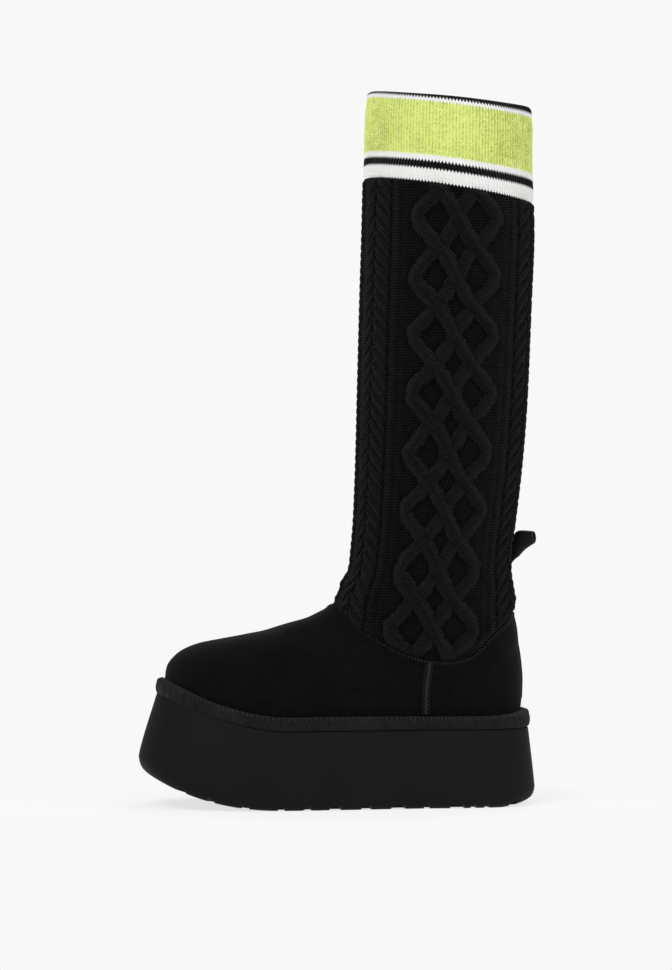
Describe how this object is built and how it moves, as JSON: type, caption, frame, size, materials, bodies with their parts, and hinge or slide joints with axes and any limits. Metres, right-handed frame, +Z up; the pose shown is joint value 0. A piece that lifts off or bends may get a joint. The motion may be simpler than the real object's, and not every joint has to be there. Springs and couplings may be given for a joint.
{
  "type": "sweater boot",
  "caption": "Knee-high cable-knit boot with a suede foot, a tall platform sole, a striped rib cuff and a ribbon pull loop.",
  "frame": {"origin": "on the floor under the ankle, on the flat of the tread, 39 mm in front of the back of the sole", "axes": "+X to the toe, +Y to the wearer's left, which is the outer side of this left boot, +Z up"},
  "size_m": [0.2802, 0.1173, 0.4996],
  "materials": {
    "sole_foam": "matte moulded foam rubber",
    "band_suede": "napped suede binding",
    "fleece": "short black pile",
    "suede": "matte napped suede",
    "cable_knit": "matte wool-like knit",
    "striped_rib": "ribbed knit with white and black stripes",
    "ribbon": "woven tape with a slight sheen"
  },
  "bodies": {
    "root": {"platform_sole": "sole_foam", "welt_band": "band_suede", "insole": "fleece", "suede_upper": "suede", "side_strap_outer": "suede", "side_strap_inner": "suede", "knit_leg": "cable_knit", "rib_cuff": "striped_rib", "ribbon_loop": "ribbon"}
  },
  "joints": []
}
